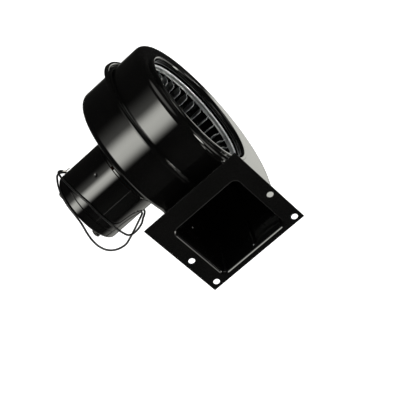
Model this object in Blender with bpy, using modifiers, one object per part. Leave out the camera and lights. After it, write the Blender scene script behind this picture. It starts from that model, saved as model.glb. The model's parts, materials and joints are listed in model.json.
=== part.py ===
"""Combustion fan: a centrifugal blower with a scroll housing, a flanged discharge and a round motor.

The origin is the centre of the discharge flange on its front face. +X is the discharge direction,
+Y runs along the shaft towards the inlet, and +Z is up. All sizes are in millimetres times MM.
"""

import math

import bmesh
import bpy
from mathutils import Matrix, Vector

MM = 0.001
GAP = 0.3

# Shaft axis and housing
AXIS_X = -100.7
AXIS_Z = 66.7
FRONT_Y = 43.3
REAR_Y = -43.2
SHEET = 1.0
EDGE_RADIUS = 8.0

# Scroll: constant radius up to SPIRAL_START, then growing to SCROLL_MAX at SPIRAL_END
SCROLL_MIN = 80.0
SCROLL_MAX = 114.2
SPIRAL_START = 40.0
SPIRAL_END = 270.0
SPIRAL_POWER = 1.26
SPIRAL_STEP = 7.5
DUCT_TOP = 31.5
DUCT_END = -4.5
TONGUE_RADIUS = 10.0

# Folded seam between the two housing shells
SEAM_Y = 1.0
SEAM_HEIGHT = 8.3
SEAM_RETURN = 4.6
SEAM_TAPER_LENGTH = 30.0
SEAM_END_HEIGHT = 4.6

# Inlet lip, as (radius, y) from the flat face to the throat
LIP_PROFILE = [
    (71.4, 43.3), (70.6, 44.9), (69.9, 46.1), (69.2, 46.4), (68.3, 46.0), (66.6, 43.4), (65.8, 39.4),
]
LIP_SEGMENTS = 40

# Discharge flange
PLATE_WIDTH = 122.5
PLATE_HEIGHT = 106.0
PLATE_SHEET = 1.2
LIP_ROLL = 4.5
LIP_DEPTH = 9.0
HOLE_DIAMETER = 7.1
HOLE_CENTRE_Y = 0.5
HOLE_SPACING_Y = 106.8
HOLE_Z = (-8.5, -46.5)

# Blower wheel
WHEEL_RADIUS = 66.7
WHEEL_FRONT_Y = 36.6
WHEEL_REAR_Y = -27.0
BLADE_COUNT = 36
BLADE_DEPTH = 11.5
BLADE_SHEET = 0.6
BAND_SHEET = 0.9
BAND_WIDTH = 5.0

# Motor
MOTOR_RADIUS = 42.0
MOTOR_SHEET = 1.2
MOTOR_END_Y = -119.0
BRACKET_END_Y = -57.0
CAP_START_Y = -108.3
SHAFT_RADIUS = 3.97
SHAFT_END_Y = 12.0
BEARING_BORE = 4.06
BOSS_BORE = 8.3
BOSS_RADIUS = 12.5
STATOR_Y = (-92.0, -68.0)
STATOR_BORE = 22.5
BOLT_CIRCLE = 36.5
BOLT_ANGLE = 70.0
BOLT_RADIUS = 2.05
BOLT_HOLE = 2.4
NUT_FLATS = 8.7
NUT_HEIGHT = 3.0

# Leads, each point as (angle in degrees, radius, y) about the shaft axis
LEAD_DIAMETER = 2.4
LEAD_EXIT_ANGLE = 185.0
LEAD_EXIT_Y = (-88.0, -84.0)
BARE_DIAMETER = 1.2

COLLECTION = "combustion_fan"
CUTTERS = "cutters"

MATERIALS = {
    "black_enamel": ((0.012, 0.012, 0.012), 0.22, 0.0),
    "galvanised_steel": ((0.52, 0.53, 0.53), 0.38, 1.0),
    "bright_steel": ((0.62, 0.62, 0.63), 0.30, 1.0),
    "lamination_steel": ((0.16, 0.16, 0.17), 0.50, 1.0),
    "copper_winding": ((0.45, 0.17, 0.06), 0.40, 1.0),
    "cast_aluminium": ((0.60, 0.61, 0.62), 0.45, 1.0),
    "sintered_bronze": ((0.42, 0.28, 0.12), 0.50, 1.0),
    "oiled_felt": ((0.30, 0.24, 0.15), 0.95, 0.0),
    "thrust_plastic": ((0.75, 0.72, 0.62), 0.45, 0.0),
    "rubber_bushing": ((0.02, 0.02, 0.02), 0.70, 0.0),
    "lead_insulation": ((0.02, 0.02, 0.02), 0.42, 0.0),
    "tinned_copper": ((0.66, 0.64, 0.60), 0.35, 1.0),
}


def clear_scene():
    for obj in list(bpy.data.objects):
        bpy.data.objects.remove(obj)


def new_collection(name):
    collection = bpy.data.collections.new(name)
    bpy.context.scene.collection.children.link(collection)
    return collection


def make_materials():
    made = {}
    for name, (colour, roughness, metallic) in MATERIALS.items():
        material = bpy.data.materials.new(name)
        material.use_nodes = True
        shader = material.node_tree.nodes["Principled BSDF"]
        shader.inputs["Base Color"].default_value = (*colour, 1.0)
        shader.inputs["Roughness"].default_value = roughness
        shader.inputs["Metallic"].default_value = metallic
        made[name] = material
    return made


def add_object(name, mesh, material):
    obj = bpy.data.objects.new(name, mesh)
    if material:
        mesh.materials.append(materials[material])
    parts.objects.link(obj)
    return obj


def mesh_from_bmesh(name, bm):
    mesh = bpy.data.meshes.new(name)
    bm.to_mesh(mesh)
    bm.free()
    mesh.shade_smooth()
    mesh.set_sharp_from_angle(angle=math.radians(35))
    return mesh


def put_on_axis(obj):
    """Moves an object modelled round its own Y axis onto the shaft axis."""
    obj.location = (AXIS_X * MM, 0.0, AXIS_Z * MM)
    return obj


def add_solidify(obj, thickness):
    solidify = obj.modifiers.new("sheet", "SOLIDIFY")
    solidify.thickness = thickness * MM
    solidify.offset = -1.0
    solidify.use_even_offset = True
    return solidify


def turned(name, profile, material, segments=32):
    """A closed profile of (radius, y), turned about the shaft axis and put clockwise so that it faces out."""
    area = sum(a[0] * b[1] - b[0] * a[1] for a, b in zip(profile, profile[1:] + profile[:1]))
    if area > 0:
        profile = profile[::-1]
    mesh = bpy.data.meshes.new(name)
    bm = bmesh.new()
    corners = [bm.verts.new((radius * MM, y * MM, 0.0)) for radius, y in profile]
    for i, corner in enumerate(corners):
        bm.edges.new((corner, corners[(i + 1) % len(corners)]))
    bm.to_mesh(mesh)
    bm.free()
    obj = add_object(name, mesh, material)
    screw = obj.modifiers.new("turn", "SCREW")
    screw.axis = "Y"
    screw.steps = segments
    screw.render_steps = segments
    screw.use_merge_vertices = True
    screw.merge_threshold = 0.00001
    screw.use_normal_calculate = False
    screw.use_smooth_shade = True
    return put_on_axis(obj)


def bar(name, radius, start, end, at, material, segments=16):
    """A round bar along Y between two y values, at (x, z) from the shaft axis."""
    bm = bmesh.new()
    bmesh.ops.create_cone(
        bm, cap_ends=True, segments=segments,
        radius1=radius * MM, radius2=radius * MM, depth=(end - start) * MM,
    )
    bmesh.ops.rotate(bm, verts=bm.verts, cent=(0, 0, 0), matrix=Matrix.Rotation(math.radians(-90), 3, "X"))
    obj = add_object(name, mesh_from_bmesh(name, bm), material)
    obj.location = ((AXIS_X + at[0]) * MM, (start + end) / 2 * MM, (AXIS_Z + at[1]) * MM)
    return obj


def as_cutter(obj):
    for collection in list(obj.users_collection):
        collection.objects.unlink(obj)
    cutters.objects.link(obj)
    obj.hide_render = True
    obj.display_type = "WIRE"
    return obj


def add_boolean(obj, other, operation):
    boolean = obj.modifiers.new(operation.lower(), "BOOLEAN")
    boolean.operation = operation
    boolean.solver = "EXACT"
    boolean.object = other
    return boolean


def around(radius, angle):
    """The (x, z) at a radius and an angle in degrees from +X towards +Z."""
    return (radius * math.cos(math.radians(angle)), radius * math.sin(math.radians(angle)))


def bolt_places():
    return [around(BOLT_CIRCLE, BOLT_ANGLE + 90.0 * i) for i in range(4)]


# ---------------------------------------------------------------- housing


def scroll_radius(angle):
    grown = max(0.0, (angle - SPIRAL_START) / (SPIRAL_END - SPIRAL_START))
    return SCROLL_MIN + (SCROLL_MAX - SCROLL_MIN) * grown**SPIRAL_POWER


def scroll_point(angle):
    x, z = around(scroll_radius(angle), angle)
    return Vector((AXIS_X + x, AXIS_Z + z))


def scroll_normal(angle):
    step = 0.01
    along = (scroll_point(angle + step) - scroll_point(angle - step)).normalized()
    return Vector((along.y, -along.x))


def lowest_scroll_angle():
    """Where the spiral runs level, so that it passes straight into the floor of the duct."""
    low, high = SPIRAL_END - 20.0, SPIRAL_END + 20.0
    while high - low > 0.001:
        middle = (low + high) / 2
        if scroll_normal(middle).x < 0:
            low = middle
        else:
            high = middle
    return low


def housing_path():
    """Points and outward normals in XZ, from the top of the duct's mouth, round the scroll, to its bottom."""
    fillet_z = DUCT_TOP + TONGUE_RADIUS
    reach = SCROLL_MIN + TONGUE_RADIUS
    fillet_x = AXIS_X + math.sqrt(reach**2 - (fillet_z - AXIS_Z) ** 2)
    centre = Vector((fillet_x, fillet_z))
    inward = Vector((AXIS_X, AXIS_Z)) - centre
    last = math.degrees(math.atan2(inward.y, inward.x))
    path = [(Vector((DUCT_END, DUCT_TOP)), Vector((0.0, 1.0)))]
    steps = 6
    for i in range(steps + 1):
        angle = math.radians(270.0 + (last - 270.0) * i / steps)
        outward = Vector((math.cos(angle), math.sin(angle)))
        path.append((centre + outward * TONGUE_RADIUS, -outward))
    tongue = last - 180.0
    end = lowest_scroll_angle()
    count = round((end - tongue) / SPIRAL_STEP)
    for i in range(1, count + 1):
        angle = tongue + (end - tongue) * i / count
        path.append((scroll_point(angle), scroll_normal(angle)))
    floor = path[-1][0].y
    for x in (-52.0, DUCT_END - SEAM_TAPER_LENGTH, DUCT_END):
        path.append((Vector((x, floor)), Vector((0.0, -1.0))))
    return path


def seam_heights(path):
    """Height of the seam at each path point: full round the scroll, lower where it meets the flange."""
    heights = []
    for point, normal in path:
        if normal.y < -0.99 and point.x > DUCT_END - SEAM_TAPER_LENGTH:
            heights.append(SEAM_END_HEIGHT)
        else:
            heights.append(SEAM_HEIGHT)
    return heights


def shell_surface(name, path, rows, face_y, hole_rows):
    """An open sheet: rows of (offsets, y) along the path, a flat face, and turned rows at its hole."""
    bm = bmesh.new()
    rings = []
    for offsets, y in rows:
        ring = []
        for (point, normal), offset in zip(path, offsets):
            place = point + normal * offset
            ring.append(bm.verts.new((place.x * MM, y * MM, place.y * MM)))
        rings.append(ring)
    for lower, upper in zip(rings, rings[1:]):
        for i in range(len(path) - 1):
            bm.faces.new((lower[i], lower[i + 1], upper[i + 1], upper[i]))
    circles = []
    for radius, y in hole_rows:
        circle = []
        for i in range(LIP_SEGMENTS):
            x, z = around(radius, 360.0 * i / LIP_SEGMENTS)
            circle.append(bm.verts.new(((AXIS_X + x) * MM, y * MM, (AXIS_Z + z) * MM)))
        circles.append(circle)
    for outer, inner in zip(circles, circles[1:]):
        for i in range(LIP_SEGMENTS):
            j = (i + 1) % LIP_SEGMENTS
            bm.faces.new((outer[i], outer[j], inner[j], inner[i]))
    edges = [bm.edges.get((a, b)) for a, b in zip(rings[-1], rings[-1][1:])]
    edges.append(bm.edges.new((rings[-1][-1], rings[-1][0])))
    first = circles[0]
    for i in range(LIP_SEGMENTS):
        pair = (first[i], first[(i + 1) % LIP_SEGMENTS])
        edges.append(bm.edges.get(pair) or bm.edges.new(pair))
    bmesh.ops.triangle_fill(bm, edges=edges, use_beauty=True, normal=(0, 1, 0))
    bmesh.ops.recalc_face_normals(bm, faces=bm.faces)
    bm.normal_update()
    face = max(bm.faces, key=lambda f: f.calc_area() if abs(f.normal.y) > 0.9 else 0.0)
    if face.normal.y * (1 if face_y > 0 else -1) < 0:
        bmesh.ops.reverse_faces(bm, faces=bm.faces)
    return mesh_from_bmesh(name, bm)


def edge_rounding(face_y):
    """(offset, y) of the rounded edge between the side wall and a face."""
    side = 1 if face_y > 0 else -1
    rounding = []
    for angle in (0.0, 30.0, 60.0, 90.0):
        a = math.radians(angle)
        rounding.append((-EDGE_RADIUS * (1 - math.cos(a)), face_y - side * EDGE_RADIUS * (1 - math.sin(a))))
    return rounding


def make_housing():
    path = housing_path()
    heights = seam_heights(path)
    level = [0.0] * len(path)
    front_flange_y = SEAM_Y + 2 * SHEET + 0.35
    front_rows = [
        ([h - SHEET - 0.35 for h in heights], front_flange_y),
        (level, front_flange_y),
    ]
    front_rows += [([offset] * len(path), y) for offset, y in edge_rounding(FRONT_Y)]
    mesh = shell_surface("inlet_shell", path, front_rows, FRONT_Y, LIP_PROFILE)
    add_solidify(add_object("inlet_shell", mesh, "black_enamel"), SHEET)

    return_y = SEAM_Y + 3 * SHEET + 0.7
    rear_rows = [
        ([h - SEAM_RETURN + 0.3 for h in heights], return_y),
        (heights, return_y),
        (heights, SEAM_Y),
        (level, SEAM_Y),
    ]
    rear_rows += [([offset] * len(path), y) for offset, y in edge_rounding(REAR_Y)]
    mesh = shell_surface("motor_side_shell", path, rear_rows, REAR_Y, [(16.0, REAR_Y)])
    shell = add_object("motor_side_shell", mesh, "black_enamel")
    add_solidify(shell, SHEET)
    for i, at in enumerate(bolt_places()):
        hole = as_cutter(bar(f"cut_shell_bolt_{i + 1}", BOLT_HOLE, REAR_Y - 3, REAR_Y + 4, at, None, 12))
        add_boolean(shell, hole, "DIFFERENCE")
    return path[-1][0].y


def rounded_loop(bm, low, high, radius, x, steps=4):
    """A rounded rectangle in YZ at x, anticlockwise seen from +X."""
    corners = [(high[0], high[1], 0), (low[0], high[1], 90), (low[0], low[1], 180), (high[0], low[1], 270)]
    loop = []
    for y, z, start in corners:
        centre_y = y - radius if y == high[0] else y + radius
        centre_z = z - radius if z == high[1] else z + radius
        for i in range(steps + 1):
            a = math.radians(start + 90.0 * i / steps)
            place = (x * MM, (centre_y + radius * math.cos(a)) * MM, (centre_z + radius * math.sin(a)) * MM)
            loop.append(bm.verts.new(place))
    return loop


def make_flange(floor):
    """A plate with an opening whose edge is rolled back into the duct, and four bolt holes."""
    inset = SHEET + GAP + PLATE_SHEET
    low = (REAR_Y + inset, floor + inset)
    high = (FRONT_Y - inset, DUCT_TOP - inset)
    corner = EDGE_RADIUS - inset
    bm = bmesh.new()
    plate = []
    for y, z in ((1, 1), (-1, 1), (-1, -1), (1, -1)):
        plate.append(bm.verts.new((0.0, y * PLATE_WIDTH / 2 * MM, z * PLATE_HEIGHT / 2 * MM)))
    loops = []
    for angle in (90.0, 60.0, 30.0, 0.0):
        a = math.radians(angle)
        out = LIP_ROLL * (1 - math.cos(a))
        x = -LIP_ROLL * (1 - math.sin(a))
        loops.append(
            rounded_loop(bm, (low[0] - out, low[1] - out), (high[0] + out, high[1] + out), corner + out, x)
        )
    loops.append(rounded_loop(bm, low, high, corner, -LIP_DEPTH))
    count = len(loops[0])
    for outer, inner in zip(loops, loops[1:]):
        for i in range(count):
            j = (i + 1) % count
            bm.faces.new((outer[i], outer[j], inner[j], inner[i]))
    edges = [bm.edges.new((plate[i], plate[(i + 1) % 4])) for i in range(4)]
    edges += [bm.edges.get((loops[0][i], loops[0][(i + 1) % count])) for i in range(count)]
    bmesh.ops.triangle_fill(bm, edges=edges, use_beauty=True, normal=(1, 0, 0))
    bmesh.ops.recalc_face_normals(bm, faces=bm.faces)
    bm.normal_update()
    face = max(bm.faces, key=lambda f: f.calc_area() if abs(f.normal.x) > 0.9 else 0.0)
    if face.normal.x < 0:
        bmesh.ops.reverse_faces(bm, faces=bm.faces)
    flange = add_object("discharge_flange", mesh_from_bmesh("discharge_flange", bm), "black_enamel")
    add_solidify(flange, PLATE_SHEET)
    for side in (-1, 1):
        for z in HOLE_Z:
            bm = bmesh.new()
            radius = HOLE_DIAMETER / 2 * MM
            bmesh.ops.create_cone(bm, cap_ends=True, segments=20, radius1=radius, radius2=radius, depth=0.01)
            quarter = Matrix.Rotation(math.radians(90), 3, "Y")
            bmesh.ops.rotate(bm, verts=bm.verts, cent=(0, 0, 0), matrix=quarter)
            name = f"cut_hole_{side}_{z}"
            hole = as_cutter(add_object(name, mesh_from_bmesh(name, bm), None))
            hole.location = (0.0, (HOLE_CENTRE_Y + side * HOLE_SPACING_Y / 2) * MM, z * MM)
            add_boolean(flange, hole, "DIFFERENCE")


# ---------------------------------------------------------------- wheel


def blade_mesh():
    """Every blade as its own curved strip, bent inward and forward from just inside the two bands."""
    steps = 3
    half = BLADE_SHEET / 2
    inner_radius = WHEEL_RADIUS - BLADE_DEPTH
    outer_radius = WHEEL_RADIUS - BAND_SHEET - GAP
    front = WHEEL_FRONT_Y - BAND_WIDTH / 2
    rear = WHEEL_REAR_Y + BAND_WIDTH / 2
    bm = bmesh.new()
    for blade in range(BLADE_COUNT):
        base = 360.0 * blade / BLADE_COUNT
        centres = []
        for i in range(steps + 1):
            share = i / steps
            radius = inner_radius + (outer_radius - inner_radius) * share
            sweep = 4.4 * math.sin(math.radians(90.0 * share)) - 7.5 * share
            centres.append(Vector(around(radius, base + sweep)))
        outline = []
        for side in (1, -1):
            order = range(steps + 1) if side == 1 else range(steps, -1, -1)
            for i in order:
                ahead = centres[min(i + 1, steps)] - centres[max(i - 1, 0)]
                normal = Vector((-ahead.y, ahead.x)).normalized()
                outline.append(centres[i] + normal * half * side)
        low = [bm.verts.new((p.x * MM, rear * MM, p.y * MM)) for p in outline]
        high = [bm.verts.new((p.x * MM, front * MM, p.y * MM)) for p in outline]
        bm.faces.new(low)
        bm.faces.new(list(reversed(high)))
        for i in range(len(low)):
            j = (i + 1) % len(low)
            bm.faces.new((low[i], high[i], high[j], low[j]))
    bmesh.ops.recalc_face_normals(bm, faces=bm.faces)
    return mesh_from_bmesh("blades", bm)


def band_profile(low, high, overlap=0.0):
    """A band's section, reaching in by an overlap to where the blades join it."""
    inner = WHEEL_RADIUS - BAND_SHEET - overlap
    return [(inner, low), (WHEEL_RADIUS, low), (WHEEL_RADIUS, high), (inner, high)]


def make_wheel():
    rim = WHEEL_FRONT_Y - 1.6
    turned("wheel_front_band", band_profile(rim - BAND_WIDTH, rim), "galvanised_steel", 72)
    rear_band = band_profile(WHEEL_REAR_Y, WHEEL_REAR_Y + BAND_WIDTH, 2 * GAP)
    wheel = turned("wheel_blades", rear_band, "galvanised_steel", 72)
    blades = put_on_axis(add_object("cut_blades", blade_mesh(), None))
    add_boolean(wheel, as_cutter(blades), "UNION")
    inner = WHEEL_RADIUS - 1.9
    low = rim + GAP
    turned(
        "wheel_rim_ring",
        [(inner, low), (WHEEL_RADIUS, low), (WHEEL_RADIUS, WHEEL_FRONT_Y - 0.3),
         (WHEEL_RADIUS - 0.5, WHEEL_FRONT_Y), (inner + 0.5, WHEEL_FRONT_Y), (inner, WHEEL_FRONT_Y - 0.3)],
        "galvanised_steel", 48,
    )
    plate = WHEEL_REAR_Y - GAP
    turned(
        "wheel_back_plate",
        [(9.0, plate - 4.0), (24.0, plate - 4.0), (32.0, plate - 0.9), (WHEEL_RADIUS - 0.2, plate - 0.9),
         (WHEEL_RADIUS - 0.2, plate), (31.8, plate), (23.8, plate - 3.1), (9.0, plate - 3.1)],
        "galvanised_steel", 48,
    )
    hub_rear = plate - 6.0
    hub = turned(
        "wheel_hub",
        [(4.3, hub_rear), (10.5, hub_rear), (10.5, plate - 4.3), (8.7, plate - 4.3), (8.7, plate + 12.0),
         (7.9, plate + 12.8), (4.3, plate + 12.8)],
        "bright_steel", 24,
    )
    screw_y = plate + 6.5
    hole = as_cutter(radial_bar("cut_set_screw", 2.5, 3.0, 12.0, screw_y, None, 12))
    add_boolean(hub, hole, "DIFFERENCE")
    radial_bar("hub_set_screw", 2.1, 4.4, 8.6, screw_y, "bright_steel", 6)


def radial_bar(name, radius, start, end, y, material, segments):
    """A bar that stands on the shaft axis's +Z side, from one radius to another."""
    bm = bmesh.new()
    bmesh.ops.create_cone(
        bm, cap_ends=True, segments=segments,
        radius1=radius * MM, radius2=radius * MM, depth=(end - start) * MM,
    )
    obj = add_object(name, mesh_from_bmesh(name, bm), material)
    obj.location = (AXIS_X * MM, y * MM, (AXIS_Z + (start + end) / 2) * MM)
    return obj


# ---------------------------------------------------------------- motor


def make_motor_shells():
    r = MOTOR_RADIUS
    t = MOTOR_SHEET
    face = REAR_Y - GAP
    boss_end = -58.6
    bracket = turned(
        "motor_front_bracket",
        [(5.0, face), (5.0, face - 1.2), (BOSS_BORE, face - 1.2), (BOSS_BORE, boss_end),
         (BOSS_RADIUS, boss_end),
         (BOSS_RADIUS, face - t), (r - t - 1.0, face - t), (r - t, face - t - 1.0), (r - t, BRACKET_END_Y),
         (r, BRACKET_END_Y), (r, face - 2.0), (r - 2.0, face)],
        "black_enamel", 48,
    )
    turned(
        "motor_can",
        [(r - t, CAP_START_Y), (r, CAP_START_Y), (r, BRACKET_END_Y - GAP), (r - t, BRACKET_END_Y - GAP)],
        "black_enamel", 48,
    )
    cap_top = CAP_START_Y - GAP
    boss_top = -104.0
    cap = turned(
        "motor_end_cap",
        [(0.0, -123.0), (11.0, -123.0), (13.5, -120.5), (13.5, MOTOR_END_Y), (r - 2.0, MOTOR_END_Y),
         (r, MOTOR_END_Y + 2.0), (r, cap_top), (r - t, cap_top), (r - t, MOTOR_END_Y + t + 1.0),
         (r - t - 1.0, MOTOR_END_Y + t), (BOSS_RADIUS, MOTOR_END_Y + t), (BOSS_RADIUS, boss_top),
         (BOSS_BORE, boss_top), (BOSS_BORE, -121.5), (0.0, -121.5)],
        "black_enamel", 48,
    )
    for i, at in enumerate(bolt_places()):
        for shell, low, high in ((bracket, face - 5, face + 3), (cap, MOTOR_END_Y - 3, MOTOR_END_Y + 6)):
            name = f"cut_{shell.name}_{i + 1}"
            add_boolean(shell, as_cutter(bar(name, BOLT_HOLE, low, high, at, None, 12)), "DIFFERENCE")


def make_stator():
    outer = MOTOR_RADIUS - MOTOR_SHEET - GAP
    low, high = STATOR_Y
    core = turned("stator_core", [(STATOR_BORE, low), (outer, low), (outer, high), (STATOR_BORE, high)],
                  "lamination_steel", 40)
    for i, at in enumerate(bolt_places()):
        hole = as_cutter(bar(f"cut_stator_{i + 1}", BOLT_HOLE, low - 3, high + 3, at, None, 12))
        add_boolean(core, hole, "DIFFERENCE")
    windings = (("stator_winding_front", high + GAP, high + 9.5), ("stator_winding_rear", low - GAP, low - 9.5))
    for name, near, far in windings:
        middle = (near + far) / 2
        ys = sorted((near, far))
        profile = [(24.5, middle), (26.5, ys[0]), (31.0, ys[0]), (33.4, middle), (31.0, ys[1]), (26.5, ys[1])]
        turned(name, profile, "copper_winding", 32)


def make_bearing(end, inward, tag):
    """A sleeve bearing, its oil felt and its retainer, from the seat's closed end in towards the rotor."""
    length, felt, cover = 10.0, 3.0, 0.8

    def ring(name, radii, start, size, material, segments=32):
        ys = sorted((start, start + inward * size))
        section = [(radii[0], ys[0]), (radii[1], ys[0]), (radii[1], ys[1]), (radii[0], ys[1])]
        turned(name, section, material, segments)

    start = end + inward * GAP
    ring(f"{tag}_bearing", (BEARING_BORE, BOSS_BORE - GAP), start, length, "sintered_bronze")
    start += inward * (length + GAP)
    ring(f"{tag}_oil_felt", (4.6, BOSS_BORE - GAP), start, felt, "oiled_felt", 24)
    start += inward * (felt + 2 * GAP)
    ring(f"{tag}_bearing_retainer", (5.0, BOSS_RADIUS), start, cover, "bright_steel", 24)
    start += inward * (cover + 2 * GAP)
    ring(f"{tag}_thrust_washer", (4.3, 7.5), start, 1.0, "thrust_plastic", 24)


def make_rotor():
    low, high = STATOR_Y
    turned("rotor_core", [(4.3, low), (22.0, low), (22.0, high), (4.3, high)], "lamination_steel", 32)
    rings = (
        ("rotor_end_ring_front", (high + GAP, high + 4.5)),
        ("rotor_end_ring_rear", (low - 4.5, low - GAP)),
    )
    for name, ys in rings:
        turned(name, [(14.0, ys[0]), (21.5, ys[0]), (21.5, ys[1]), (14.0, ys[1])], "cast_aluminium", 24)
    start = -120.0
    turned(
        "shaft",
        [(0.0, start), (SHAFT_RADIUS - 0.6, start), (SHAFT_RADIUS, start + 0.6),
         (SHAFT_RADIUS, SHAFT_END_Y - 0.6),
         (SHAFT_RADIUS - 0.6, SHAFT_END_Y), (0.0, SHAFT_END_Y)],
        "bright_steel", 32,
    )


def hex_nut(name, low, at, bore):
    nut = bar(name, NUT_FLATS / 2 / math.cos(math.radians(30)), low, low + NUT_HEIGHT, at, "bright_steel", 6)
    hole = bar(f"cut_{name}", bore, low - 2, low + NUT_HEIGHT + 2, at, None, 12)
    add_boolean(nut, as_cutter(hole), "DIFFERENCE")


def make_bolts():
    end_low = MOTOR_END_Y - GAP - NUT_HEIGHT
    housing_low = REAR_Y + SHEET + GAP
    for i, at in enumerate(bolt_places()):
        ends = (end_low - 1.0, housing_low + NUT_HEIGHT + 1.0)
        bar(f"through_bolt_{i + 1}", BOLT_RADIUS, *ends, at, "bright_steel", 12)
        hex_nut(f"end_nut_{i + 1}", end_low, at, BOLT_HOLE)
        hex_nut(f"housing_nut_{i + 1}", housing_low, at, BOLT_HOLE)


# ---------------------------------------------------------------- leads


def smooth_route(points, count):
    """A Catmull-Rom curve through the points, read at even steps of its length."""
    dense = []
    padded = [points[0] * 2 - points[1], *points, points[-1] * 2 - points[-2]]
    for i in range(1, len(padded) - 2):
        a, b, c, d = padded[i - 1 : i + 3]
        for step in range(24):
            t = step / 24
            dense.append(
                0.5 * (2 * b + (c - a) * t + (2 * a - 5 * b + 4 * c - d) * t**2
                       + (3 * b - a - 3 * c + d) * t**3)
            )
    dense.append(points[-1])
    lengths = [0.0]
    for a, b in zip(dense, dense[1:]):
        lengths.append(lengths[-1] + (b - a).length)
    route = []
    place = 0
    for i in range(count):
        target = lengths[-1] * i / (count - 1)
        while place < len(lengths) - 2 and lengths[place + 1] < target:
            place += 1
        share = (target - lengths[place]) / (lengths[place + 1] - lengths[place])
        route.append(dense[place].lerp(dense[place + 1], min(1.0, share)))
    return route, lengths[-1]


def tube(name, points, diameter, material):
    curve = bpy.data.curves.new(name, "CURVE")
    curve.dimensions = "3D"
    curve.bevel_depth = diameter / 2 * MM
    curve.bevel_resolution = 2
    curve.use_fill_caps = True
    spline = curve.splines.new("POLY")
    spline.points.add(len(points) - 1)
    for slot, point in zip(spline.points, points):
        slot.co = (point.x * MM, point.y * MM, point.z * MM, 1.0)
    obj = bpy.data.objects.new(name, curve)
    curve.materials.append(materials[material])
    parts.objects.link(obj)
    return obj


# Each lead leaves its bushing on the hidden side, runs under the can, hangs in a loop below it, crosses the
# can's visible side and ends in a stripped tip on top. Points are (angle, radius, y) about the shaft axis.
LEAD_ROUTES = {
    "lead_1": [
        (185, 47.5, -88), (187.5, 51, -88), (196, 52.2, -88), (208, 50, -87.9), (222, 47.6, -87.2),
        (238, 46, -86.2), (256, 44.8, -84.4), (273, 44, -81.8), (287, 43.8, -79.2),
        (298, 44.3, -78.1), (300.5, 47.5, -85.1), (301.5, 51, -93.3), (301.5, 54.5, -102.8),
        (301, 57, -112.9), (306, 55, -122.5), (318, 51.5, -126.9), (332, 48.5, -127.5),
        (346, 46.3, -126), (0, 45, -123.1), (14, 44.2, -119.8), (28, 43.8, -118.6),
        (45, 43.6, -118.6), (65, 43.6, -118.4), (85, 43.6, -118.3), (100, 44.2, -118.7),
        (109, 45.4, -119.2), (116, 46.6, -119), (124, 46.8, -117.8), (134, 45.8, -116),
        (145, 44.6, -114.6), (155, 43.9, -113.9),
    ],
    "lead_2": [
        (185, 47.5, -84), (188, 50.5, -84), (198, 50.8, -84), (210, 49, -84), (224, 47.2, -83.4),
        (239, 46, -82.2), (256, 45.4, -80.6), (272, 44.8, -78.4), (286, 44.7, -76.2),
        (298, 45.9, -75.6), (303, 48.2, -78.1), (306, 51.8, -82.2), (308.5, 54.3, -89.5),
        (310.5, 54.5, -96), (313.5, 53, -99.6), (320, 50, -100.4), (329, 47, -100.4),
        (341, 44.7, -100.1), (355, 43.8, -99.3), (10, 43.6, -99.2), (28, 43.6, -99.4),
        (46, 43.6, -101.9), (62, 43.6, -105.2), (77, 43.7, -108.3), (90, 43.9, -111.6),
        (100, 44.9, -113.6), (108, 46.9, -115.2), (113.5, 48.2, -115.4), (117.5, 47.6, -114),
        (118.5, 45.8, -112.6),
    ],
}

BARE_ENDS = {
    "lead_1": [(155.8, 43.9, -113.8), (161, 43.6, -113.6), (166, 43.6, -113.5)],
    "lead_2": [(118.4, 45.1, -112.1), (117.6, 43.7, -109.2), (117, 43.4, -104.6)],
}


def lead_points(route):
    points = []
    for angle, radius, y in route:
        x, z = around(radius, angle)
        points.append(Vector((AXIS_X + x, y, AXIS_Z + z)))
    return points


def make_leads():
    for (name, route), exit_y in zip(LEAD_ROUTES.items(), LEAD_EXIT_Y):
        points, length = smooth_route(lead_points(route), 44)
        tube(name, points, LEAD_DIAMETER, "lead_insulation")
        tube(f"{name}_bare_end", lead_points(BARE_ENDS[name]), BARE_DIAMETER, "tinned_copper")
        make_bushing(f"{name}_bushing", exit_y)


def make_bushing(name, y):
    """A moulded strain relief that stands on the can's hidden side, where a lead comes out."""
    bm = bmesh.new()
    bmesh.ops.create_cone(bm, cap_ends=True, segments=16, radius1=1.8 * MM, radius2=1.5 * MM, depth=3.6 * MM)
    turn = Matrix.Rotation(math.radians(90.0 - LEAD_EXIT_ANGLE), 3, "Y")
    bmesh.ops.rotate(bm, verts=bm.verts, cent=(0, 0, 0), matrix=turn)
    obj = add_object(name, mesh_from_bmesh(name, bm), "rubber_bushing")
    x, z = around(MOTOR_RADIUS + 0.6 + 1.8, LEAD_EXIT_ANGLE)
    obj.location = ((AXIS_X + x) * MM, y * MM, (AXIS_Z + z) * MM)


clear_scene()
parts = new_collection(COLLECTION)
cutters = new_collection(CUTTERS)
materials = make_materials()
make_flange(make_housing())
make_wheel()
make_motor_shells()
make_stator()
make_bearing(REAR_Y - GAP - 1.2, -1, "front")
make_bearing(-121.5 + 3.6, 1, "rear")
make_rotor()
make_bolts()
make_leads()
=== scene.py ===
"""Looks for the combustion fan: meshes, materials, leads, floor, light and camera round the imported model."""

import json
import math

import bmesh
import bpy
from mathutils import Matrix, Vector


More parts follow.
